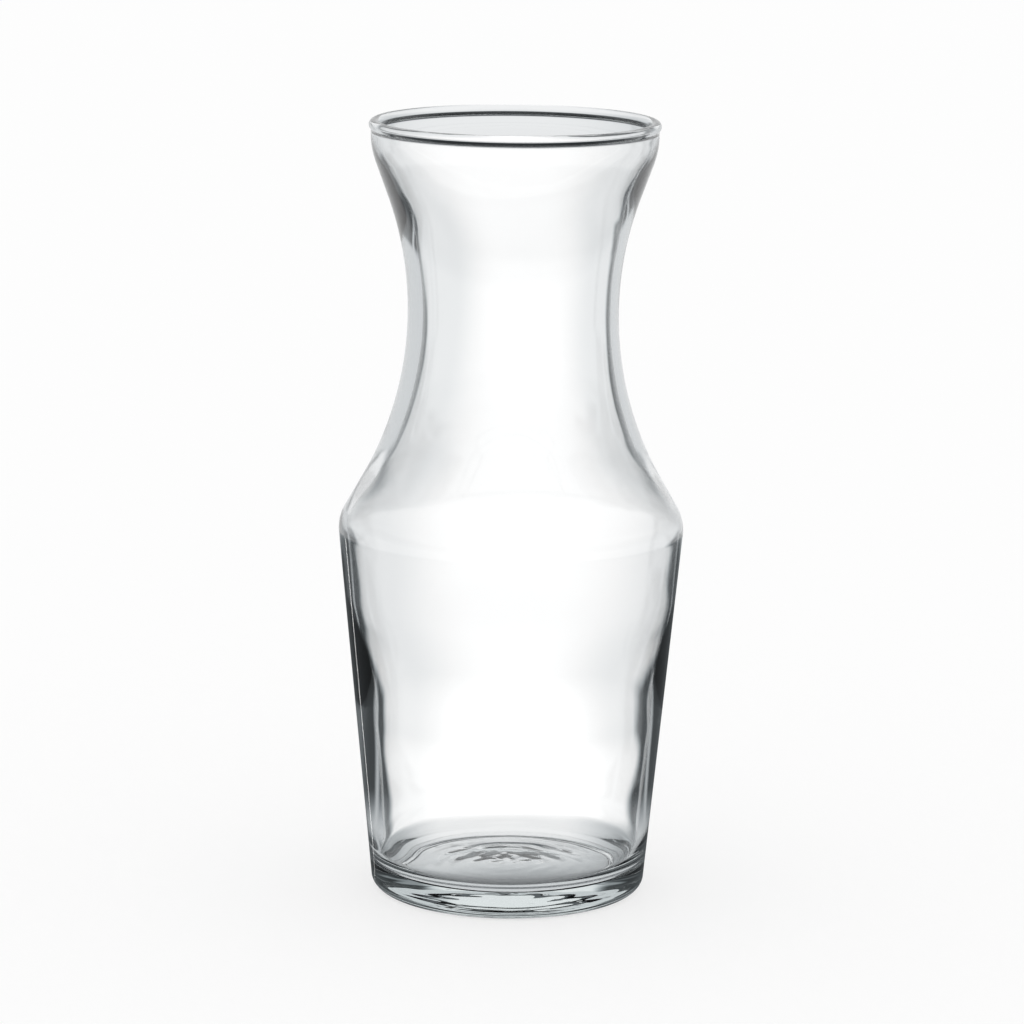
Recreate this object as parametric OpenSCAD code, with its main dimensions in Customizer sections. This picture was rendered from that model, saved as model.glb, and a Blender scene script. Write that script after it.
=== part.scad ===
// Wine decanter of about one litre, press-and-blown in one piece of clear glass.
// Millimetres. The table is z = 0 and the axis of the glass is the Z axis.
// The outside is a chain of straight lines and arcs that meet smoothly. The inside follows
// it at a wall thickness that changes with height, and turns into a filleted floor.

/* [Overall] */
// Height from the table to the top of the rim
total_h = 246; // [228:1:264]

/* [Foot] */
// Diameter at which the sides, drawn on straight, would meet the table
foot_d = 86.6; // [80:0.2:94]
// Radius of the heel between the underside and the sides
heel_r = 4; // [2:0.5:6]
// Width of the foot round the hollow, from its edge out to the foot diameter
foot_ring_w = 7.3; // [6:0.1:12]
// Width over which the edge of the hollow rises
hollow_edge = 4; // [3:0.5:8]
// Rise of the hollow at its edge
hollow_step = 1.4; // [0.8:0.1:2]
// Height of the hollow in the middle
hollow_h = 3.2; // [2.2:0.1:4]
// Height of each round ripple that the mould leaves in the hollow
ripple_h = 0.35; // [0.1:0.05:0.5]
// Number of ripples
ripple_count = 3; // [1:1:5]

/* [Body] */
// Diameter at the shoulder, measured to its sharp corner
shoulder_d = 109.6; // [100:0.2:118]
// Height of the shoulder corner
shoulder_h = 119.5; // [108:0.5:130]
// Radius that rounds the shoulder corner
corner_r = 12; // [6:1:18]
// Length of straight slope above the shoulder corner, measured from its sharp corner
slope_len = 15; // [10:1:24]

/* [Neck] */
// Outside diameter of the waist, the narrowest place
waist_d = 66.2; // [60:0.2:74]
// Distance from the top of the rim down to the waist
waist_drop = 60; // [52:1:68]

/* [Lip] */
// Outside diameter of the lip just under the rim bead
lip_d = 89.8; // [82:0.2:98]
// Distance from the top of the rim down to the corner between the flare and the lip
lip_drop = 9; // [7:0.5:12]
// Radius that turns the flare upright into the lip
lip_r = 25; // [15:1:32]
// Length of straight flare below that corner
flare_len = 16; // [12:1:22]
// Thickness of the fire-polished bead round the rim
bead_d = 3.4; // [2.8:0.1:4.2]
// How far the bead stands out past the lip
bead_proud = 0.65; // [0.2:0.05:1]
// Radius of the small hollow between the bead and the lip
bead_fillet_r = 0.8; // [0.4:0.1:1.5]

/* [Wall] */
// Wall thickness just under the bead
lip_wall = 1.7; // [1.4:0.1:2.6]
// Distance below the bead over which the wall thickens to that of the waist
lip_reach = 34; // [20:1:44]
// Wall thickness at the waist
waist_wall = 3.6; // [3:0.1:4.4]
// Wall thickness at the shoulder
shoulder_wall = 2.1; // [1.8:0.1:3.2]
// Distance above the shoulder corner over which the wall thickens to that of the waist
shoulder_reach = 26; // [16:1:30]
// Wall thickness at the foot
foot_wall = 3.9; // [3.4:0.1:5]
// Extra thickness of the swell low in the body, where the gob of glass settled
swell = 0.4; // [0.1:0.05:1]
// Height of the middle of the swell
swell_h = 56; // [46:1:66]
// Distance below the middle of the swell over which it grows
swell_reach = 24; // [14:1:30]
// Distance above the middle of the swell over which the wall thins to that of the shoulder
thin_reach = 35; // [24:1:42]

/* [Floor] */
// Height of the floor inside, at its edge
floor_h = 8; // [6.5:0.5:11]
// Rise of the floor in the middle
floor_rise = 1.2; // [0.4:0.1:2.4]
// Radius between the floor and the wall inside
floor_r = 7; // [4:0.5:10]

/* [Hidden] */
// Flats on the whole revolved glass, and points along each kind of line
turn_facets = 96;
arc_points = 9;
fillet_points = 4;
sweep_points = 16;
wall_points = 20;
floor_points = 24;

foot_r = foot_d / 2;
shoulder_r = shoulder_d / 2;
waist_r = waist_d / 2;
outer_lip_r = lip_d / 2;
hollow_r = foot_r - foot_ring_w;
bead_r = bead_d / 2;
lip_h = total_h - lip_drop;
waist_h = total_h - waist_drop;
bead_foot_h = total_h - bead_d;
swell_wall = foot_wall + swell;

// Lean of the sides outwards from the vertical
side_lean = atan2(shoulder_r - foot_r, shoulder_h);

// A sweep is an arc that leaves the waist upright and ends on a straight line. The line ends at
// the point that lies out and away from the waist, and keeps the length flat of it straight.
// The line would cross the waist's upright tangent at a distance cross from the waist.
function sweep_cross(out, away, flat) = (pow(away + flat, 2) + pow(out, 2)) / (2 * (away + flat)) - flat;
function sweep_angle(out, away, flat) = atan2(out, away - sweep_cross(out, away, flat));
function sweep_radius(out, away, flat) =
    sweep_cross(out, away, flat) / tan(sweep_angle(out, away, flat) / 2);

shoulder_out = shoulder_r - waist_r;
shoulder_away = waist_h - shoulder_h;
shoulder_angle = sweep_angle(shoulder_out, shoulder_away, slope_len);
shoulder_sweep_r = sweep_radius(shoulder_out, shoulder_away, slope_len);

lip_out = outer_lip_r - waist_r;
lip_away = lip_h - waist_h;
lip_angle = sweep_angle(lip_out, lip_away, flare_len);
lip_sweep_r = sweep_radius(lip_out, lip_away, flare_len);

// Length that a fillet takes off each of the two lines it joins
function fillet_cut(radius, turn) = radius * tan(turn / 2);
corner_cut = fillet_cut(corner_r, shoulder_angle + side_lean);
lip_cut = fillet_cut(lip_r, lip_angle);

// A point of the wall is [radius, height, facing], where facing is the angle of the outward
// normal above the horizontal. A piece that carries on from the point before it has first = 1.
function along(start, finish, u) = start + (finish - start) * u;
function wall_arc(centre_r, centre_h, radius, start, finish, points, first = 0) = [
    for (i = [first : points])
        let (a = along(start, finish, i / points))
            [centre_r + radius * cos(a), centre_h + radius * sin(a), a]
];
// A sweep curves the other way, so its normal points to the far side from its centre.
function neck_arc(radius, start, finish, points, first = 0) = [
    for (i = [first : points])
        let (a = along(start, finish, i / points))
            [waist_r + radius * (1 - cos(a)), waist_h + radius * sin(a), -a]
];
function wall_line(start, finish_r, finish_h, facing, points) = [
    for (i = [1 : points])
        [along(start[0], finish_r, i / points), along(start[1], finish_h, i / points), facing]
];

// The heel rolls from the table, where it faces straight down, to the leaning side.
heel_centre_r = foot_r + heel_r * tan(side_lean) - heel_r / cos(side_lean);
heel = wall_arc(heel_centre_r, heel_r, heel_r, -90, -side_lean, arc_points);

side_start = heel[arc_points];
side_end_r = shoulder_r - corner_cut * sin(side_lean);
side_end_h = shoulder_h - corner_cut * cos(side_lean);
side = wall_line(side_start, side_end_r, side_end_h, -side_lean, wall_points);

corner_centre_r = side_end_r - corner_r * cos(side_lean);
corner_centre_h = side_end_h + corner_r * sin(side_lean);
corner = wall_arc(
    corner_centre_r, corner_centre_h, corner_r, -side_lean, shoulder_angle, arc_points, first = 1);

shoulder_sweep = neck_arc(shoulder_sweep_r, -shoulder_angle, 0, sweep_points);
lip_sweep = neck_arc(lip_sweep_r, 0, lip_angle, sweep_points, first = 1);

lip_turn = wall_arc(
    outer_lip_r - lip_r, lip_h + lip_cut, lip_r, -lip_angle, 0, arc_points);

// Wall thickness at a height: it eases from one named place to the next.
function ease(u) = (1 - cos(180 * u)) / 2;
function eased(from_h, from_wall, to_h, to_wall, h) =
    along(from_wall, to_wall, ease(min(max((h - from_h) / (to_h - from_h), 0), 1)));
function wall_at(h) =
    h > waist_h ? eased(bead_foot_h - lip_reach, waist_wall, bead_foot_h, lip_wall, h)
    : h > shoulder_h ? eased(shoulder_h, shoulder_wall, shoulder_h + shoulder_reach, waist_wall, h)
    : h > swell_h ? eased(swell_h, swell_wall, swell_h + thin_reach, shoulder_wall, h)
    : eased(swell_h - swell_reach, foot_wall, swell_h, swell_wall, h);
function inside(p) = [p[0] - wall_at(p[1]) * cos(p[2]), p[1] - wall_at(p[1]) * sin(p[2])];
function outside(p) = [p[0], p[1]];

// The bead is a round ring on the lip. Its centre is set back so that it stands proud as named.
bead_centre_r = outer_lip_r + bead_proud - bead_r;
bead_centre_h = total_h - bead_r;
inner_lip_r = outer_lip_r - lip_wall;

// A small hollow arc leads from the upright lip into the bead. Its centre stands reach away from
// the bead's centre, and drop_angle below it.
bead_reach = bead_r + bead_fillet_r;
outer_drop_angle = acos((outer_lip_r + bead_fillet_r - bead_centre_r) / bead_reach);
inner_drop_angle = acos((bead_centre_r - inner_lip_r + bead_fillet_r) / bead_reach);
function round_arc(centre_r, centre_h, radius, start, finish, points, first = 0) = [
    for (i = [first : points])
        let (a = along(start, finish, i / points))
            [centre_r + radius * cos(a), centre_h + radius * sin(a)]
];
bead = concat(
    round_arc(
        outer_lip_r + bead_fillet_r, bead_centre_h - bead_reach * sin(outer_drop_angle),
        bead_fillet_r, 180, 180 - outer_drop_angle, fillet_points),
    round_arc(
        bead_centre_r, bead_centre_h, bead_r, -outer_drop_angle, 90, arc_points, first = 1),
    round_arc(
        bead_centre_r, bead_centre_h, bead_r, 90, 180 + inner_drop_angle, arc_points, first = 1),
    round_arc(
        inner_lip_r - bead_fillet_r, bead_centre_h - bead_reach * sin(inner_drop_angle),
        bead_fillet_r, inner_drop_angle, 0, fillet_points, first = 1));

// The wall from the foot up, in the order of its outline
wall = concat(heel, side, corner, shoulder_sweep, lip_sweep, lip_turn);

// The floor's fillet rolls from the leaning wall inside to the level floor.
fillet_h = floor_h + floor_r;
inner_foot_r = foot_r - wall_at(fillet_h) / cos(side_lean);
fillet_centre_r = inner_foot_r + fillet_h * tan(side_lean) - floor_r / cos(side_lean);
fillet_top_h = fillet_h - floor_r * sin(side_lean);
floor_fillet = round_arc(fillet_centre_r, fillet_h, floor_r, -side_lean, -90, arc_points);
// The floor swells gently to the middle, level at its edge and on the axis.
floor_line = [
    for (i = [1 : floor_points])
        let (u = i / floor_points)
            [fillet_centre_r * (1 - u), floor_h + floor_rise * ease(u)]
];

// The hollow steps up at its edge, then domes to the middle with round ripples in it.
dome_r = hollow_r - hollow_edge;
hollow_dome = [
    for (i = [0 : 2 * floor_points])
        let (u = i / (2 * floor_points))
            [dome_r * u, along(hollow_h, hollow_step, ease(u)) - ripple_h * ease(2 * ripple_count * u)]
];
hollow_rim = [
    for (i = [1 : arc_points])
        let (u = i / arc_points)
            [dome_r + hollow_edge * u, hollow_step * (1 - ease(u))]
];

outer_line = [for (p = wall) outside(p)];
inner_line = [for (p = wall) if (inside(p)[1] > fillet_top_h) inside(p)];
count = len(inner_line);
inner_down = [for (i = [count - 1 : -1 : 0]) inner_line[i]];

module glass_body() {
    color([0.86, 0.92, 0.90, 0.35])
        rotate_extrude($fn = turn_facets)
            polygon(concat(
                hollow_dome, hollow_rim, outer_line, bead, inner_down, floor_fillet, floor_line));
}

glass_body();
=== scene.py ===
# %% [markdown]
# A wine decanter in clear glass
#
# The object is a table decanter of about one litre, pressed and blown in one piece: a thick foot,
# tapered sides, a sloping shoulder, a waisted neck and a flared lip with a fire-polished rim.
# There is one piece and one material, so the lesson is about three things: a lathe mesh that is
# accurate enough to bend light well, a glass that stays honest from every side, and a light tent
# that draws the dark lines which make clear glass visible on white.

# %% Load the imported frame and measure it
import math

import bpy
import numpy as np
from mathutils import Matrix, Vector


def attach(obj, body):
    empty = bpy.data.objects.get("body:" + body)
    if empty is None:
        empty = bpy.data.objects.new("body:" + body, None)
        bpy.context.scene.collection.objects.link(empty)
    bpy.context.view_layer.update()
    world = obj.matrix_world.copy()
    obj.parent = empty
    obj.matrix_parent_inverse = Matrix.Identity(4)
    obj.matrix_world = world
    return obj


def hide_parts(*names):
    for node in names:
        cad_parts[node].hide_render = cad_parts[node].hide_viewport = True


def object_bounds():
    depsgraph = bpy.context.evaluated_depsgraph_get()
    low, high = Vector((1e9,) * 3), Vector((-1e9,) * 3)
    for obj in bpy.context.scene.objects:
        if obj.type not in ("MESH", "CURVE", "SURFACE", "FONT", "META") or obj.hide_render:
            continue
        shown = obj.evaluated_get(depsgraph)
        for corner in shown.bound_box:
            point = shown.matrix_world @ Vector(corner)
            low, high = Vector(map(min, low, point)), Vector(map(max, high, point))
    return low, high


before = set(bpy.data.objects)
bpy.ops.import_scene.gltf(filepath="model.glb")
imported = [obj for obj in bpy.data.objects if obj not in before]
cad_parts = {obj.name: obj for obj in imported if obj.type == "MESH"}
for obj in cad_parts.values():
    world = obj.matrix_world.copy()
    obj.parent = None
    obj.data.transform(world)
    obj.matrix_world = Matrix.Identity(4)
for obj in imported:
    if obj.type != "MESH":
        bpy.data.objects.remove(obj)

bpy.context.scene.view_settings.view_transform = "Standard"
cad_low, cad_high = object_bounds()
total_height = cad_high[2] - cad_low[2]
print("CAD height in mm:", round(total_height * 1000, 2))

# %% [markdown]
# The drawing of the glass
#
# Glass shows every flaw of its outline, because a ray that meets a kink is thrown aside. The CAD
# solid is a chain of flats, which is right for a solid and wrong for a lens. So the outline is
# drawn again here from the same few sizes, as lines and arcs that meet smoothly, with far more
# points. The sizes are in millimetres, as on a maker's drawing, and are scaled to the frame.
# A name in _R is a radius, in _H a height above the table, in _DROP a distance below the rim, in
# _WALL a thickness of glass, and in _REACH the height over which a thickness changes.

# %% Sizes on the drawing, in millimetres
DRAWN_HEIGHT = 246.0
FOOT_R, HEEL_R = 43.3, 4.0
SHOULDER_R, SHOULDER_H, CORNER_R, SLOPE_LEN = 54.8, 119.5, 12.0, 15.0
WAIST_R, WAIST_DROP = 33.1, 60.0
LIP_R, LIP_DROP, LIP_TURN_R, FLARE_LEN = 44.9, 9.0, 25.0, 16.0
BEAD_R, BEAD_PROUD, BEAD_FILLET_R, BEAD_FILLET_IN_R = 1.7, 0.65, 0.8, 1.6
LIP_WALL, WAIST_WALL, SHOULDER_WALL, FOOT_WALL = 1.7, 3.6, 1.7, 4.15
LIP_REACH, SHOULDER_REACH = 34.0, 26.0
THICK_H, THIN_REACH = 57.0, 39.0
FLOOR_H, FLOOR_RISE, FLOOR_FILLET_R = 8.0, 1.2, 7.0
HOLLOW_R, HOLLOW_EDGE, HOLLOW_STEP, HOLLOW_H = 36.0, 4.0, 1.4, 3.2

WAIST_H = DRAWN_HEIGHT - WAIST_DROP
MM = total_height / DRAWN_HEIGHT
print("metres in one drawn millimetre:", MM)

# %% [markdown]
# Arcs and the two sweeps
#
# Every round stretch is an arc given by its centre, radius and two angles. The neck is made of two
# sweeps: an arc that starts upright at the waist and runs into a straight line that aims at the
# shoulder corner, or at the lip corner. The radius of a sweep follows from where it must end, so
# the neck stays smooth if the waist or the shoulder moves.

# %% Helpers for arcs and sweeps
STEP_ANGLE, STEP_LEN, FEWEST_STEPS = math.radians(3.0), 1.2, 4
FEWEST_LINE_STEPS = 2


def arc(centre_r, centre_h, radius, start, finish, steps=None):
    """Points [radius, height, facing] on an arc. Angles are in radians."""
    turn = abs(finish - start)
    steps = steps or max(int(turn / STEP_ANGLE), int(turn * radius / STEP_LEN), FEWEST_STEPS)
    a = np.linspace(start, finish, steps + 1)
    return np.stack([centre_r + radius * np.cos(a), centre_h + radius * np.sin(a), a], 1)


def line(start, finish):
    """Points on the straight line between two wall points that face the same way."""
    length = math.hypot(finish[0] - start[0], finish[1] - start[1])
    steps = max(int(length / STEP_LEN), FEWEST_LINE_STEPS)
    return start + (finish - start) * np.linspace(0, 1, steps + 1)[1:-1, None]


def sweep(out, away, flat):
    """Angle and radius of a sweep that ends on a straight line of length flat."""
    cross = ((away + flat) ** 2 + out ** 2) / (2 * (away + flat)) - flat
    angle = math.atan2(out, away - cross)
    return angle, cross / math.tan(angle / 2)


def neck_arc(radius, start, finish):
    """A hollow arc through the waist, which faces away from its centre's side."""
    a = arc(0, 0, radius, start, finish)[:, 2]
    return np.stack([WAIST_R + radius * (1 - np.cos(a)), WAIST_H + radius * np.sin(a), -a], 1)


lip_h = DRAWN_HEIGHT - LIP_DROP
side_lean = math.atan2(SHOULDER_R - FOOT_R, SHOULDER_H)
shoulder_angle, shoulder_sweep_r = sweep(SHOULDER_R - WAIST_R, WAIST_H - SHOULDER_H, SLOPE_LEN)
lip_angle, lip_sweep_r = sweep(LIP_R - WAIST_R, lip_h - WAIST_H, FLARE_LEN)
print("shoulder slope", round(math.degrees(shoulder_angle), 1), "degrees, sweep radius",
      round(shoulder_sweep_r, 1), "mm; flare", round(math.degrees(lip_angle), 1), "degrees")

# %% [markdown]
# The outside wall, from the heel to the lip
#
# The pieces are joined in the order in which a finger would follow them up the glass. Each point
# also keeps the way the wall faces there, because the inside wall is set back along that
# direction and not just sideways.

# %% Outside wall
corner_cut = CORNER_R * math.tan((shoulder_angle + side_lean) / 2)
lip_cut = LIP_TURN_R * math.tan(lip_angle / 2)
heel_centre_r = FOOT_R + HEEL_R * math.tan(side_lean) - HEEL_R / math.cos(side_lean)
side_top_r = SHOULDER_R - corner_cut * math.sin(side_lean)
side_top_h = SHOULDER_H - corner_cut * math.cos(side_lean)

heel = arc(heel_centre_r, HEEL_R, HEEL_R, -math.pi / 2, -side_lean)
corner = arc(side_top_r - CORNER_R * math.cos(side_lean), side_top_h + CORNER_R * math.sin(side_lean),
             CORNER_R, -side_lean, shoulder_angle)
lower_neck = neck_arc(shoulder_sweep_r, -shoulder_angle, 0)
upper_neck = neck_arc(lip_sweep_r, 0, lip_angle)[1:]
lip_turn = arc(LIP_R - LIP_TURN_R, lip_h + lip_cut, LIP_TURN_R, -lip_angle, 0)
outer_wall = np.concatenate([
    heel, line(heel[-1], corner[0]), corner, line(corner[-1], lower_neck[0]),
    lower_neck, upper_neck, line(upper_neck[-1], lip_turn[0]), lip_turn])
widest = 2 * outer_wall[:, 0].max()
print("outside wall:", len(outer_wall), "points, widest", round(widest, 2), "mm across")

# %% [markdown]
# The inside wall
#
# The mould shapes only the outside. Inside, the glass is as thick as it happened to settle: thin
# at the lip, thicker at the waist, thin again at the shoulder where it was stretched most, and
# thick in the lower body where the gob first rested. The change of thickness is what makes the
# dark lines near the sides wander, so it is worth drawing.

# %% Inside wall
def ease(u):
    """A smooth step from 0 to 1."""
    return (1 - np.cos(np.pi * np.clip(u, 0, 1))) / 2


def eased(h, low_h, low_wall, high_h, high_wall):
    """Wall thickness that passes smoothly from one height to another."""
    return low_wall + (high_wall - low_wall) * ease((h - low_h) / (high_h - low_h))


def wall_at(h):
    """Wall thickness at a height."""
    bead_foot = DRAWN_HEIGHT - 2 * BEAD_R
    lip = eased(h, bead_foot - LIP_REACH, WAIST_WALL, bead_foot, LIP_WALL)
    neck = eased(h, SHOULDER_H, SHOULDER_WALL, SHOULDER_H + SHOULDER_REACH, WAIST_WALL)
    body = eased(h, THICK_H, FOOT_WALL, THICK_H + THIN_REACH, SHOULDER_WALL)
    return np.select([h > WAIST_H, h > SHOULDER_H], [lip, neck], body)


inner_wall = outer_wall.copy()
inner_wall[:, 0] -= wall_at(outer_wall[:, 1]) * np.cos(outer_wall[:, 2])
inner_wall[:, 1] -= wall_at(outer_wall[:, 1]) * np.sin(outer_wall[:, 2])
for h in (HEEL_R, THICK_H, SHOULDER_H, WAIST_H, lip_h):
    print("wall at", h, "mm up:", round(float(wall_at(np.float64(h))), 2), "mm")

# %% [markdown]
# The rim bead
#
# The rim was melted round in a flame, so it is a small ring that stands a little proud of the lip
# on both sides. A small hollow arc leads into it from each side.

# %% Rim bead
BEAD_STEP = math.radians(7.5)


def bead_arc(centre_r, centre_h, radius, start, finish):
    """A fine arc: the bead is small, and it draws the brightest and darkest lines of the rim."""
    return arc(centre_r, centre_h, radius, start, finish, int(abs(finish - start) / BEAD_STEP) + 1)


bead_r, bead_h = LIP_R + BEAD_PROUD - BEAD_R, DRAWN_HEIGHT - BEAD_R
reach_out, reach_in = BEAD_R + BEAD_FILLET_R, BEAD_R + BEAD_FILLET_IN_R
outer_drop = math.acos((LIP_R + BEAD_FILLET_R - bead_r) / reach_out)
inner_drop = math.acos((bead_r - LIP_R + LIP_WALL + BEAD_FILLET_IN_R) / reach_in)
bead = np.concatenate([
    bead_arc(LIP_R + BEAD_FILLET_R, bead_h - reach_out * math.sin(outer_drop), BEAD_FILLET_R,
             math.pi, math.pi - outer_drop),
    bead_arc(bead_r, bead_h, BEAD_R, -outer_drop, math.pi + inner_drop)[1:],
    bead_arc(LIP_R - LIP_WALL - BEAD_FILLET_IN_R, bead_h - reach_in * math.sin(inner_drop),
             BEAD_FILLET_IN_R, inner_drop, 0)[1:]])
inner_wall = inner_wall[inner_wall[:, 1] < bead[-1, 1]]
print("bead:", len(bead), "points, outer diameter", round(2 * bead[:, 0].max(), 2), "mm")

# %% [markdown]
# The floor, and the hollow under the foot
#
# The floor rolls up into the wall with a generous fillet and rises a little in the middle. Under
# the foot the glass is pushed up, so that it stands on a ring and not on a bump. Both have many
# rings of points, because they will carry ripples.

# %% Floor and hollow
FLOOR_POINTS, HOLLOW_POINTS, EDGE_POINTS = 66, 66, 12

fillet_h = FLOOR_H + FLOOR_FILLET_R
inner_foot_r = FOOT_R - float(wall_at(np.float64(fillet_h))) / math.cos(side_lean)
fillet_r = inner_foot_r + fillet_h * math.tan(side_lean) - FLOOR_FILLET_R / math.cos(side_lean)
fillet = arc(fillet_r, fillet_h, FLOOR_FILLET_R, -side_lean, -math.pi / 2)
inner_wall = inner_wall[inner_wall[:, 1] > fillet[0, 1]]

u = np.linspace(0, 1, FLOOR_POINTS + 1)[1:]
floor_line = np.stack([fillet_r * (1 - u), FLOOR_H + FLOOR_RISE * ease(u), 0 * u], 1)
u = np.linspace(0, 1, HOLLOW_POINTS + 1)
dome_r = HOLLOW_R - HOLLOW_EDGE
dome = np.stack([dome_r * u, HOLLOW_H + (HOLLOW_STEP - HOLLOW_H) * ease(u), 0 * u], 1)
u = np.linspace(0, 1, EDGE_POINTS + 1)[1:]
edge = np.stack([dome_r + HOLLOW_EDGE * u, HOLLOW_STEP * (1 - ease(u)), 0 * u], 1)

outside = np.concatenate([dome, edge, outer_wall, bead])
inside = np.concatenate([inner_wall[::-1], fillet, floor_line])
outline = np.concatenate([outside, inside])[:, :2]
is_inside = np.arange(len(outline)) >= len(outside)
print("outline:", len(outline), "points; floor meets the wall", round(fillet_r, 1), "mm from the axis")

# %% [markdown]
# Turning the outline on the lathe
#
# The outline is spun into rings of points. A perfect lathe form looks computer-made in glass, so
# the inside gets the small faults that a blown wall has: the cavity sits a little off centre, and
# the wall waves gently. The outside came out of a metal mould and stays true. The faults fade out
# at the floor and at the rim, which were formed by a plunger and by a flame. Each kind of noise
# has a length along the outline and a greatest number of lobes round the glass.

# %% Lathe
TURNS = 150
OFF_NECK, OFF_BODY, OFF_CHANGE = 0.68, 0.8, 30.0
OFF_FADE_H, OFF_FADE = 206.0, 20.0
WAVE, WAVE_LEN, WAVE_LOBES = 0.05, 14.0, 5
FLOOR_CALM, RIM_FREE, RIM_CALM = 12.0, 4.0, 30.0
SEED, NOISE_TERMS, NOISE_SPREAD = 7, 5, (0.5, 1.5)

theta = np.linspace(0, 2 * np.pi, TURNS, endpoint=False)
rng = np.random.default_rng(SEED)


def soft_noise(along, scale, lobes):
    """Slow noise along the outline and round the glass, about -1 to 1."""
    total = np.zeros((len(along), TURNS))
    for _ in range(NOISE_TERMS):
        k = rng.integers(1, lobes + 1)
        phase, shift = rng.uniform(0, 2 * np.pi, 2)
        climb_rate = along[:, None] / scale * rng.uniform(*NOISE_SPREAD)
        total += np.sin(k * theta[None, :] + phase + climb_rate + shift)
    return total / math.sqrt(NOISE_TERMS)


radius = np.repeat(outline[:, :1], TURNS, 1)
height = np.repeat(outline[:, 1:], TURNS, 1)
h = outline[:, 1]
settled = ease((h - FLOOR_H) / FLOOR_CALM) * is_inside
below_rim = ease((DRAWN_HEIGHT - RIM_FREE - h) / RIM_CALM)
below_flare = ease((OFF_FADE_H + OFF_FADE - h) / OFF_FADE)
off = OFF_NECK + (OFF_BODY - OFF_NECK) * ease((SHOULDER_H - h) / OFF_CHANGE)
radius += (settled * below_rim)[:, None] * WAVE * soft_noise(h, WAVE_LEN, WAVE_LOBES)
x = radius * np.cos(theta) + (settled * below_flare * off)[:, None]
y = radius * np.sin(theta)
print("rings:", len(outline), "turns:", TURNS, "cavity off centre by", OFF_NECK, "to", OFF_BODY, "mm")

# %% [markdown]
# Ripples in the floor
#
# The plunger that pressed the floor was cooler than the glass, so both faces of the floor carry
# faint rings. They are uneven: their spacing drifts and their depth comes and goes round the foot.
# Drift and jitter push the rings along by so many radians, and lengths are shares of the reach.

# %% Ripples
FLOOR_RIPPLE, HOLLOW_RIPPLE = 0.02, 0.035
FLOOR_RINGS, HOLLOW_RINGS = 7, 5
FLOOR_MARGIN = 0.05
DRIFT, DRIFT_LEN, DRIFT_LOBES = 1.6, 0.35, 4
JITTER, JITTER_LEN, JITTER_LOBES = 0.8, 0.12, 9
DEPTH_MEAN, DEPTH_CHANGE, DEPTH_LEN, DEPTH_LOBES = 0.7, 0.3, 0.3, 5
MIDDLE_CALM, EDGE_CALM = 0.15, 0.2


def ripples(r, reach, rings, depth):
    """Height of uneven rings out to a radius, none on the axis or at the edge."""
    u = np.clip(r / reach, 0, 1)
    along = u[:, 0]
    drift = DRIFT * soft_noise(along, DRIFT_LEN, DRIFT_LOBES)
    drift = drift + JITTER * soft_noise(along, JITTER_LEN, JITTER_LOBES)
    swell = DEPTH_MEAN + DEPTH_CHANGE * soft_noise(along, DEPTH_LEN, DEPTH_LOBES)
    fade = ease(u / MIDDLE_CALM) * ease((1 - u) / EDGE_CALM)
    return depth * fade * swell * np.sin(2 * np.pi * rings * u + drift)


is_low = h < FLOOR_H + FLOOR_RISE + FLOOR_MARGIN
is_floor = is_inside & is_low & (outline[:, 0] < fillet_r)
is_dome = np.arange(len(outline)) < len(dome)
for part, reach, rings, depth in ((is_floor, fillet_r, FLOOR_RINGS, FLOOR_RIPPLE),
                                  (is_dome, dome_r, HOLLOW_RINGS, HOLLOW_RIPPLE)):
    height[part] += ripples(radius[part], reach, rings, depth)
print("rippled rings of points: floor", is_floor.sum(), "hollow", is_dome.sum())

# %% [markdown]
# One closed mesh
#
# Light has to know at every point whether it is in glass or in air, so the mesh is closed: quads
# between the rings, and a fan of triangles at each end, where the outline meets the axis. It
# stands in for the CAD solid, which is hidden.

# %% Mesh of the glass
def lathe_mesh(name, x, y, z):
    """A closed mesh from rings of points. The first and last rings are single points on the axis."""
    turns = x.shape[1]
    inner = np.stack([x, y, z], 2)[1:-1].reshape(-1, 3)
    poles = np.array([[0, 0, z[0, 0]], [0, 0, z[-1, 0]]])
    points = np.concatenate([inner, poles]) * MM
    first, last = len(inner), len(inner) + 1
    ring = np.arange(turns)
    after = (ring + 1) % turns
    end = len(inner) - turns
    faces = []
    for low in range(0, end, turns):
        high = low + turns
        faces += np.stack([low + ring, low + after, high + after, high + ring], 1).tolist()
    faces += np.stack([np.full(turns, first), after, ring], 1).tolist()
    faces += np.stack([end + ring, end + after, np.full(turns, last)], 1).tolist()
    mesh = bpy.data.meshes.new(name)
    mesh.from_pydata(points.tolist(), [], faces)
    mesh.polygons.foreach_set("use_smooth", [True] * len(mesh.polygons))
    mesh.validate()
    mesh.update()
    return mesh


decanter = bpy.data.objects.new("decanter_glass", lathe_mesh("decanter_glass", x, y, height))
bpy.context.scene.collection.objects.link(decanter)
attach(decanter, "root")
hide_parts("glass_body")
print("glass mesh:", len(decanter.data.vertices), "vertices,", len(decanter.data.polygons), "faces")

# %% [markdown]
# Formulas made of nodes
#
# The glass and the studio are both drawn with nodes. A small class places math nodes in a tree and
# hands back their outputs, so that each formula below reads as one line.

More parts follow.
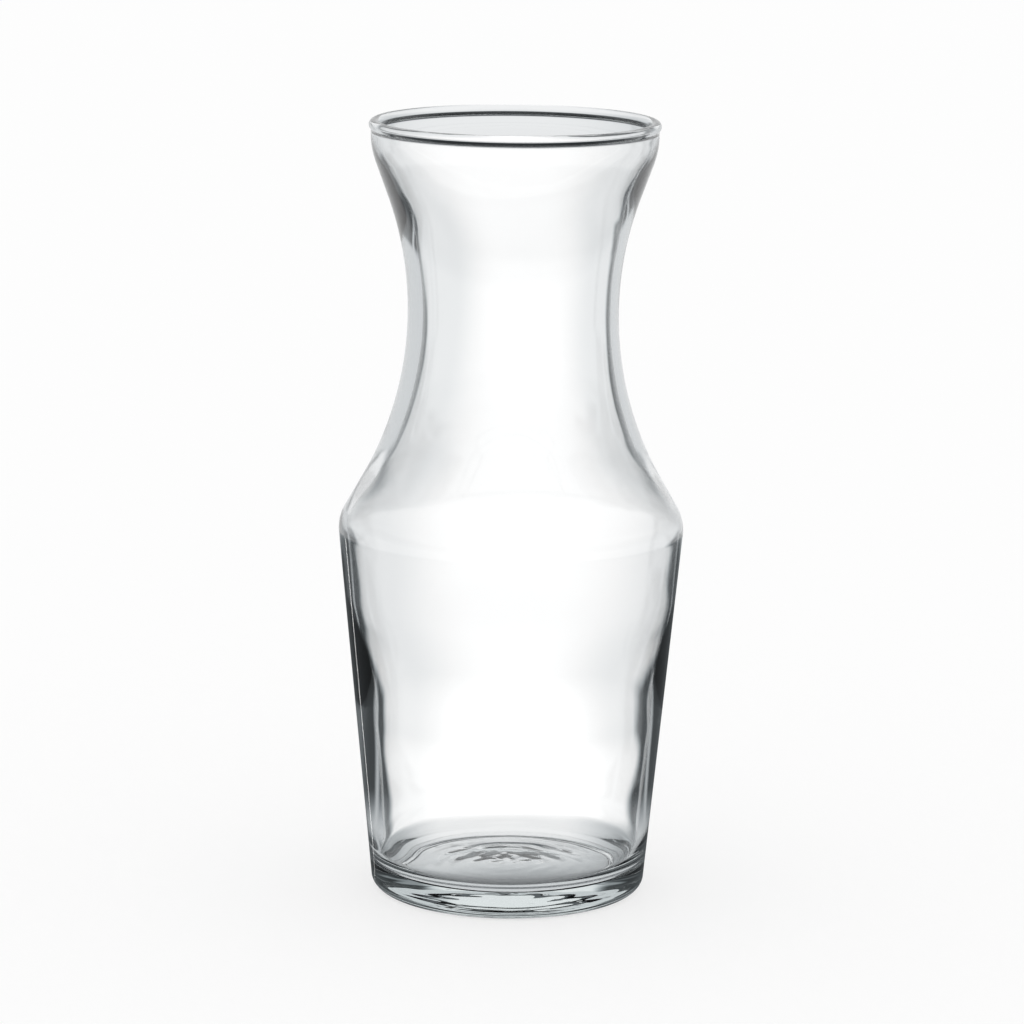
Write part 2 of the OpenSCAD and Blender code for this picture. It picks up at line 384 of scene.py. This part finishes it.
# %% Helpers that place nodes
class Formula:
    """Writes formulas into a node tree. A value is a number or the output of another node."""

    def __init__(self, tree):
        self.tree = tree

    def math(self, operation, *values, clamp=False):
        node = self.tree.nodes.new("ShaderNodeMath")
        node.operation = operation
        node.use_clamp = clamp
        for socket, value in zip(node.inputs, values):
            if isinstance(value, bpy.types.NodeSocket):
                self.tree.links.new(value, socket)
            else:
                socket.default_value = value
        return node.outputs[0]

    def add(self, first, second):
        return self.math("ADD", first, second)

    def minus(self, first, second):
        return self.math("SUBTRACT", first, second)

    def over(self, first, second):
        return self.math("DIVIDE", first, second)

    def absolute(self, value):
        return self.math("ABSOLUTE", value)

    def times(self, first, *others):
        for other in others:
            first = self.math("MULTIPLY", first, other)
        return first

    def ramp(self, value, span, start, end):
        """A soft step: start where the value is below the span, end where it is above."""
        node = self.tree.nodes.new("ShaderNodeMapRange")
        node.interpolation_type = "SMOOTHSTEP"
        self.tree.links.new(value, node.inputs["Value"])
        for name, number in zip(("From Min", "From Max", "To Min", "To Max"), (*span, start, end)):
            node.inputs[name].default_value = number
        return node.outputs[0]

    def peak(self, value, centre, half_width):
        """1 at the centre, softly down to 0 on both sides."""
        return self.times(self.ramp(value, (centre - half_width, centre), 0, 1),
                          self.ramp(value, (centre, centre + half_width), 1, 0))

    def blend(self, start, end, share):
        """From start to end, as share goes from 0 to 1."""
        return self.add(start, self.times(self.minus(end, start), share))


def new_group(name, inputs, outputs):
    """A node group with named sockets, and its input and output nodes."""
    group = bpy.data.node_groups.new(name, "ShaderNodeTree")
    for label, kind in inputs:
        group.interface.new_socket(label, in_out="INPUT", socket_type=kind)
    for label, kind in outputs:
        group.interface.new_socket(label, in_out="OUTPUT", socket_type=kind)
    return group, group.nodes.new("NodeGroupInput"), group.nodes.new("NodeGroupOutput")


# %% [markdown]
# Clear glass
#
# A Principled BSDF with full transmission bends and reflects light as glass does. Its colour comes
# from a volume, so thick places are greener than thin ones, as in a real foot. The skin has two
# faults that every used decanter has: soft smears left by hands and cloth, which dull it in
# patches, and a very slight waviness from the fire polish, far too shallow for the mesh.

# %% Glass material
GLASS_IOR = 1.52
TINT = (0.78, 0.89, 0.88, 1.0)
TINT_DENSITY = 5.0
TINT_SAMPLE = 0.010
SMEAR_SCALE, SMEAR_DETAIL, SMEAR_FROM, SMEAR_ROUGHNESS = 26.0, 4.0, (0.50, 0.70), 0.03
WAVE_SCALE, WAVE_DETAIL, WAVE_DEPTH = 75.0, 1.0, 0.00002

glass = bpy.data.materials.new("decanter_clear_glass")
glass.use_nodes = True
nodes, links = glass.node_tree.nodes, glass.node_tree.links
shader = nodes["Principled BSDF"]
shader.inputs["Base Color"].default_value = (1, 1, 1, 1)
shader.inputs["Metallic"].default_value = 0.0
shader.inputs["Transmission Weight"].default_value = 1.0
shader.inputs["IOR"].default_value = GLASS_IOR
skin = nodes.new("ShaderNodeTexCoord")


def glass_noise(scale, detail):
    """Noise over the glass, about 0 to 1, with scale in features to the metre."""
    noise = nodes.new("ShaderNodeTexNoise")
    noise.inputs["Scale"].default_value = scale
    noise.inputs["Detail"].default_value = detail
    links.new(skin.outputs["Object"], noise.inputs["Vector"])
    return noise.outputs["Fac"]


smears = Formula(glass.node_tree).ramp(
    glass_noise(SMEAR_SCALE, SMEAR_DETAIL), SMEAR_FROM, 0, SMEAR_ROUGHNESS)
links.new(smears, shader.inputs["Roughness"])
waves = nodes.new("ShaderNodeBump")
waves.inputs["Distance"].default_value = WAVE_DEPTH
links.new(glass_noise(WAVE_SCALE, WAVE_DETAIL), waves.inputs["Height"])
links.new(waves.outputs["Normal"], shader.inputs["Normal"])
tint = nodes.new("ShaderNodeVolumeAbsorption")
tint.inputs["Color"].default_value = TINT
tint.inputs["Density"].default_value = TINT_DENSITY
links.new(tint.outputs["Volume"], nodes["Material Output"].inputs["Volume"])
decanter.data.materials.append(glass)
print("green kept by", TINT_SAMPLE, "m of glass:",
      round(math.exp(-TINT_DENSITY * (1 - TINT[1]) * TINT_SAMPLE), 4))

# %% [markdown]
# The camera
#
# Its place was worked out from the photograph's silhouette: how round the rim and the foot look
# gives the height, and the taper between them the distance.

# %% Camera
CAMERA_DISTANCE, CAMERA_HEIGHT = 1.3547, 0.3975
PITCH, ROLL = math.radians(11.511), math.radians(0.619)
FOCAL_PX, FRAME_PX, SENSOR_MM = 4371.1, 1024, 36.0
AXIS_SHIFT_PX = -0.9

camera_data = bpy.data.cameras.new("camera")
camera_data.sensor_fit = "HORIZONTAL"
camera_data.sensor_width = SENSOR_MM
camera_data.lens = FOCAL_PX / FRAME_PX * SENSOR_MM
camera = bpy.data.objects.new("camera", camera_data)
camera.location = (-AXIS_SHIFT_PX / FOCAL_PX * CAMERA_DISTANCE, -CAMERA_DISTANCE, CAMERA_HEIGHT)
tilt = Matrix.Rotation(math.pi / 2 - PITCH, 3, "X") @ Matrix.Rotation(ROLL, 3, "Z")
camera.rotation_euler = tilt.to_euler()
bpy.context.scene.collection.objects.link(camera)
bpy.context.scene.camera = camera
print("lens", round(camera_data.lens, 1), "mm")

# %% [markdown]
# The light tent
#
# Clear glass on white is seen only through what it bends into view. So the studio is a bright
# table with dark flags standing at its sides and a dark room above. The glass shows the bright
# table through its middle, bends the flags into the dark bands along its flanks, and bends the room
# above into the dark line under its rim. The flags, the room and every other light and dark of the
# tent are painted light and shade, a pattern that only bent and mirrored rays see, because real
# black cards would also darken the table itself.
#
# The pattern is a function of place. The tent is turned by a few degrees, as one that was set up by
# hand. Behind the glass py is positive, and azimuth is 0 there and grows to the right, in degrees.
# Distances are metres from the glass's axis, slopes are metres per metre, and a strength of 1 is
# white. A pair of numbers is a span over which something changes softly, and names in _AT and
# _HALF are the place and the half width of a peak.

# %% Where a place lies in the tent
TURN = math.radians(4.0)
DEGREES_PER_RADIAN = 180 / math.pi

tent, tent_in, tent_out = new_group(
    "light tent", [("Place", "NodeSocketVector")],
    [(name, "NodeSocketFloat") for name in ("Straight", "Reflected", "Mirrored")])
t = Formula(tent)
turned = tent.nodes.new("ShaderNodeVectorRotate")
turned.rotation_type = "Z_AXIS"
turned.inputs["Angle"].default_value = -TURN
tent.links.new(tent_in.outputs["Place"], turned.inputs["Vector"])
split = tent.nodes.new("ShaderNodeSeparateXYZ")
tent.links.new(turned.outputs[0], split.inputs[0])
px, py, pz = split.outputs
across, away = t.absolute(px), t.absolute(py)
ground = t.math("SQRT", t.add(t.times(px, px), t.times(py, py)))
azimuth = t.times(t.math("ARCTAN2", px, py), DEGREES_PER_RADIAN)
aside = t.absolute(azimuth)
climb = t.over(pz, ground)
print("nodes that find the place:", len(tent.nodes))

# %% [markdown]
# The bright strip behind the glass
#
# The strip is brightest close to the glass. Toward the flags it loses a little light, which is the
# soft grey haze inside the flanks, and it loses a little more far away. The haze is measured from
# a line that leans by HAZE_SLOPE. That undoes most of the tent's turn, so that the haze is nearly
# even on both sides of the glass for the camera.

# %% Strip
WHITE, WHITE_NEAR, NEAR_FADE = 1.10, 1.40, (0.15, 0.22)
HAZE, HAZE_SLOPE, HAZE_NEAR, HAZE_GROWS, HAZE_FADE = 0.78, 0.061, 0.025, 0.07, (0.3, 1.4)
DISTANT, DISTANT_FADE = 0.95, (1.0, 1.8)

off_middle = t.absolute(t.minus(px, t.times(py, HAZE_SLOPE)))
haze_half = t.add(t.times(ground, HAZE_GROWS), HAZE_NEAR)
strip = t.times(t.ramp(ground, NEAR_FADE, WHITE_NEAR, WHITE),
                t.ramp(t.over(off_middle, haze_half), HAZE_FADE, 1, HAZE),
                t.ramp(ground, DISTANT_FADE, 1, DISTANT))
print("strip:", WHITE_NEAR, "near the glass,", WHITE, "further out,",
      round(WHITE * HAZE, 2), "in the haze")

# %% [markdown]
# The flags beside the strip
#
# A flag stands on each side of the strip, which widens away from the glass. Where a flag starts and
# ends is written as a slope, because a ray that leaves the flank of the glass runs off at nearly
# the same angle whatever its height. The start moves out and back a little with distance, which
# makes the dark bands waver. BEHIND keeps these two flags on the far side of the glass, so that
# they don't cross it as a slanted band for someone who stands behind it. Four softer flags stand
# further round, for whoever looks at the glass from the side or from the back.

# %% Flags
EDGE, START_SLOPE, START_SOFT = 0.047, 0.17, (0.9, 1.1)
WIDER_NEAR, WIDER_AT, WIDER_REACH = 0.11, 0.165, 0.06
WIDER, WIDER_FROM, NARROWER, NARROWER_FROM = 0.20, (0.45, 0.75), -0.08, (0.95, 1.30)
END_SLOPE, END_SLOPE_FAR, END_FADE, END_SOFT = 0.42, 0.60, (0.42, 0.90), 0.04
BEHIND = (-0.03, 0.02)
SIDE_FLAGS = ((-78.0, -58.0), (-122.0, -102.0), (102.0, 122.0), (148.0, 164.0))
SIDE_SOFT, SIDE_NEAR = 4.0, (0.10, 0.40)
BEYOND = 0.9
DARK, DARK_FAR, DARK_FADE = 0.03, 0.08, (0.9, 2.7)

start_slope = t.add(t.times(t.peak(ground, WIDER_AT, WIDER_REACH), WIDER_NEAR), START_SLOPE)
for step, reach in ((WIDER, WIDER_FROM), (NARROWER, NARROWER_FROM)):
    start_slope = t.add(start_slope, t.ramp(ground, reach, 0, step))
end_slope = t.ramp(ground, END_FADE, END_SLOPE, END_SLOPE_FAR)
strip_half = t.add(t.times(start_slope, away), EDGE)
slope = t.over(t.minus(across, EDGE), away)
past_end = t.ramp(t.minus(slope, end_slope), (-END_SOFT, END_SOFT), 0, 1)
flags = t.times(t.ramp(t.over(across, strip_half), START_SOFT, 0, 1),
                t.minus(1.0, past_end), t.ramp(py, BEHIND, 0, 1))
for start, end in SIDE_FLAGS:
    side = t.times(t.ramp(azimuth, (start - SIDE_SOFT, start + SIDE_SOFT), 0, 1),
                   t.ramp(azimuth, (end - SIDE_SOFT, end + SIDE_SOFT), 1, 0),
                   t.ramp(ground, SIDE_NEAR, 0, 1))
    flags = t.math("MAXIMUM", flags, side)
white = t.blend(strip, BEYOND, past_end)
dark = t.ramp(ground, DARK_FADE, DARK, DARK_FAR)
table_seen = t.blend(white, dark, flags)
print("flags behind the glass start", round(math.degrees(math.atan(START_SLOPE)), 1),
      "degrees aside; side flags:", len(SIDE_FLAGS))

# %% [markdown]
# Painted shadow under the foot, and the dark room above
#
# The patch of table that the decanter covers is painted dark for rays bent by the glass, a painted
# shadow that is darkest at the front and the sides.
# Above the horizon the tent goes over into the dark room.

# %% Painted shadow under the foot, and the room
UNDER_EDGE, UNDER_FRONT, UNDER_DARK, UNDER_LIGHT = (0.055, 0.085), (-0.025, 0.04), 0.10, 0.95
UNDER_ACROSS, UNDER_SIDE = (0.02, 0.048), 0.45
ROOM, ROOM_EDGE = 0.03, (0.0, 0.16)

# Painted shadow: the table under the foot is darkened for bent rays, most at the front and the sides.
painted_foot_shadow = t.times(t.ramp(py, UNDER_FRONT, UNDER_DARK, UNDER_LIGHT),
                t.ramp(across, UNDER_ACROSS, 1, UNDER_SIDE))
table_seen = t.blend(painted_foot_shadow, table_seen, t.ramp(ground, UNDER_EDGE, 0, 1))
straight = t.blend(table_seen, ROOM, t.ramp(climb, ROOM_EDGE, 0, 1))
tent.links.new(straight, tent_out.inputs["Straight"])
print("nodes so far:", len(tent.nodes))

# %% [markdown]
# What the glass shows after a reflection inside it
#
# A ray that was turned back inside the wall leaves to the side or to the front, where the studio
# is painted mostly dark. Two painted slits of light between the painted dark cards draw the fine
# bright lines inside the dark bands. Further round there is painted light from the side. Far away
# the room is painted an even grey.

# %% Reflected light, level with the table
MIDDLE, CARD, CARD_FROM = 0.20, 0.05, (20.0, 32.0)
SLIT, SLIT_AT, SLIT_HALF = 0.5, 56.0, 6.0
SLIT_MID, SLIT_MID_AT, SLIT_MID_HALF, SLIT_MID_FROM = 0.55, 36.5, 4.0, (0.20, 0.25)
SIDE_LIGHT, SIDE_EDGE_NEAR, SIDE_EDGE, SIDE_EDGE_SOFT = 0.8, 73.0, 57.0, 6.0
SIDE_EDGE_FADE, SIDE_FLOOR, SIDE_FLOOR_FADE = (0.19, 0.25), 14.0, (0.12, 0.14)
FAR_GREY, FAR_LINE, FAR_FADE, FAR_SIDE = 0.62, 0.8, (0.60, 0.80), (58.0, 64.0)
CARD_UNDER, CARD_UNDER_EDGE = 0.65, (0.08, 0.13)

slit = t.peak(aside, SLIT_AT, SLIT_HALF)
slit_mid = t.times(t.peak(aside, SLIT_MID_AT, SLIT_MID_HALF),
                   t.ramp(ground, SLIT_MID_FROM, 0, SLIT_MID))
near = t.blend(MIDDLE, CARD, t.ramp(aside, CARD_FROM, 0, 1))
near = t.add(t.add(near, t.times(slit, SLIT)), slit_mid)
side_edge = t.add(t.ramp(ground, SIDE_EDGE_FADE, SIDE_EDGE_NEAR, SIDE_EDGE),
                  t.ramp(ground, SIDE_FLOOR_FADE, SIDE_FLOOR, 0))
past_side = t.ramp(t.minus(aside, side_edge), (-SIDE_EDGE_SOFT, SIDE_EDGE_SOFT), 0, 1)
near = t.blend(near, SIDE_LIGHT, past_side)
far_grey = t.minus(FAR_GREY, t.times(slit, FAR_LINE * FAR_GREY))
far_away = t.blend(far_grey, SIDE_LIGHT, t.ramp(aside, FAR_SIDE, 0, 1))
turned_back = t.blend(near, far_away, t.ramp(ground, FAR_FADE, 0, 1))
turned_back = t.blend(CARD_UNDER, turned_back, t.ramp(ground, CARD_UNDER_EDGE, 0, 1))
print("after a reflection: cards", CARD, "slits", CARD + SLIT, "side light", SIDE_LIGHT)

# %% [markdown]
# The same, above the table
#
# Rays that leave upward see the pale roof of the tent, darker at the sides, and the dark belt of
# its rail, which draws the dark corners at the ends of the thick floor.

# %% Reflected light, above the table
ABOVE, ABOVE_SIDE, ABOVE_EDGE = 0.85, 0.30, (0.03, 0.15)
RAIL, RAIL_LOW, RAIL_HIGH, RAIL_ASIDE = 0.04, (0.20, 0.27), (0.42, 0.50), (22.0, 34.0)
FAR_RAIL_AT, FAR_RAIL_HALF, FAR_RAIL_ASIDE = 0.08, 0.05, (10.0, 20.0)

roof = t.ramp(aside, RAIL_ASIDE, ABOVE, ABOVE_SIDE)
turned_back = t.blend(turned_back, roof, t.ramp(climb, ABOVE_EDGE, 0, 1))
rail = t.times(t.ramp(climb, RAIL_LOW, 0, 1), t.ramp(climb, RAIL_HIGH, 1, 0),
               t.ramp(aside, RAIL_ASIDE, 0, 1))
far_rail = t.times(t.peak(climb, FAR_RAIL_AT, FAR_RAIL_HALF), t.ramp(aside, FAR_RAIL_ASIDE, 1, 0))
turned_back = t.blend(turned_back, RAIL, t.math("MAXIMUM", rail, far_rail))
tent.links.new(turned_back, tent_out.inputs["Reflected"])
print("nodes so far:", len(tent.nodes))

# %% [markdown]
# What the outer skin mirrors
#
# The skin mirrors the painted dark studio and a painted reflection of a narrow lamp at the left, a
# bright strip that draws the thin bright line down the left flank. The far end of the studio is
# painted pale, so that the rim, which mirrors it, is too.

# %% Mirrored light
MIRROR, MIRROR_FAR, MIRROR_FADE, PAINTED_GLINT = 0.12, 0.90, (0.45, 0.58), 3.0
PAINTED_GLINT_EDGE, PAINTED_GLINT_SLOPE, PAINTED_GLINT_HALF, PAINTED_GLINT_REACH = 0.045, 0.568, 0.03, (0.45, 0.55)

# Painted reflection: a narrow bright strip behind the glass at the left, seen only by mirrored rays.
painted_glint_bearing = t.over(t.minus(t.times(px, -1.0), PAINTED_GLINT_EDGE), away)
painted_glint = t.times(t.peak(painted_glint_bearing, PAINTED_GLINT_SLOPE, PAINTED_GLINT_HALF), t.ramp(ground, PAINTED_GLINT_REACH, 1, 0),
               t.math("GREATER_THAN", py, 0.0))
skin_sees = t.blend(t.ramp(ground, MIRROR_FADE, MIRROR, MIRROR_FAR), PAINTED_GLINT, painted_glint)
tent.links.new(skin_sees, tent_out.inputs["Mirrored"])
print("light tent:", len(tent.nodes), "nodes")

# %% [markdown]
# Which rays see the tent
#
# Light Path tells plain rays, which see a plain white studio, from rays that the glass bent,
# turned back or mirrored. A ray that has gone through both faces of one wall only, at the mouth,
# is dimmed a little. The greys of the tent are slightly cool, as the photograph's are.

# %% Light of the studio
ONE_WALL, ONE_WALL_FACES = 0.80, (2.0, 3.0)
SHADE = (0.90, 1.0, 1.06, 1.0)


def studio_light(tree, place):
    """Strength 1 for plain rays; the tent's pattern for rays that the glass bent or mirrored."""
    s = Formula(tree)
    group = tree.nodes.new("ShaderNodeGroup")
    group.node_tree = tent
    tree.links.new(place, group.inputs["Place"])
    path = tree.nodes.new("ShaderNodeLightPath")
    direct = s.math("SUBTRACT", 1.0, path.outputs["Diffuse Depth"], clamp=True)
    bent = s.times(direct, path.outputs["Is Transmission Ray"])
    mirrored = s.times(direct, path.outputs["Is Glossy Ray"], path.outputs["Is Reflection Ray"])
    reflected = s.math("MULTIPLY", path.outputs["Glossy Depth"], 1.0, clamp=True)
    walls = s.ramp(path.outputs["Transmission Depth"], ONE_WALL_FACES, ONE_WALL, 1)
    through = s.blend(s.times(group.outputs["Straight"], walls), group.outputs["Reflected"], reflected)
    strength = s.blend(s.blend(1.0, through, bent), group.outputs["Mirrored"], mirrored)
    colour = tree.nodes.new("ShaderNodeMix")
    colour.data_type = "RGBA"
    tree.links.new(s.math("MINIMUM", strength, 1.0), colour.inputs["Factor"])
    colour.inputs["A"].default_value = SHADE
    colour.inputs["B"].default_value = (1, 1, 1, 1)
    return strength, colour.outputs["Result"], s.math("MAXIMUM", bent, mirrored), path


# %% [markdown]
# The world
#
# To the camera and to the table the world is plain white. A direction becomes a place far away in
# that direction, so that the tent's pattern carries on above the horizon.

# %% World
WORLD_FAR = 10.0

world = bpy.data.worlds.new("studio")
world.use_nodes = True
bpy.context.scene.world = world
sky = world.node_tree
background = sky.nodes["Background"]
direction = sky.nodes.new("ShaderNodeTexCoord")
far = sky.nodes.new("ShaderNodeVectorMath")
far.operation = "SCALE"
far.inputs["Scale"].default_value = WORLD_FAR
sky.links.new(direction.outputs["Generated"], far.inputs[0])
strength, colour, _, _ = studio_light(sky, far.outputs[0])
sky.links.new(strength, background.inputs["Strength"])
sky.links.new(colour, background.inputs["Color"])
print("world nodes:", len(sky.nodes))

# %% [markdown]
# The table
#
# The table is white paper. To the camera part of its white is its own glow, so that it reads as
# white up to the horizon and still keeps the decanter's soft shadow. To the glass it is the tent.

# %% Table
TABLE_HALF = 8.0
PAPER_GLOW = 0.6
PAPER = (0.96, 0.96, 0.96, 1)

table_mesh = bpy.data.meshes.new("table")
table_mesh.from_pydata(
    [(-TABLE_HALF, -TABLE_HALF, 0), (TABLE_HALF, -TABLE_HALF, 0),
     (TABLE_HALF, TABLE_HALF, 0), (-TABLE_HALF, TABLE_HALF, 0)], [], [(0, 1, 2, 3)])
table = bpy.data.objects.new("table", table_mesh)
bpy.context.scene.collection.objects.link(table)

paper = bpy.data.materials.new("white_paper")
paper.use_nodes = True
sheet = paper.node_tree
sheet.nodes.remove(sheet.nodes["Principled BSDF"])
matte = sheet.nodes.new("ShaderNodeBsdfDiffuse")
matte.inputs["Color"].default_value = PAPER
glow = sheet.nodes.new("ShaderNodeEmission")
where = sheet.nodes.new("ShaderNodeNewGeometry")
strength, colour, shaped, path = studio_light(sheet, where.outputs["Position"])
sheet.links.new(strength, glow.inputs["Strength"])
sheet.links.new(colour, glow.inputs["Color"])
s = Formula(sheet)
glow_share = s.math("MAXIMUM", shaped, s.times(path.outputs["Is Camera Ray"], PAPER_GLOW))
mix = sheet.nodes.new("ShaderNodeMixShader")
sheet.links.new(glow_share, mix.inputs["Fac"])
sheet.links.new(matte.outputs[0], mix.inputs[1])
sheet.links.new(glow.outputs[0], mix.inputs[2])
sheet.links.new(mix.outputs[0], sheet.nodes["Material Output"].inputs["Surface"])
table_mesh.materials.append(paper)
print("table:", 2 * TABLE_HALF, "m square")
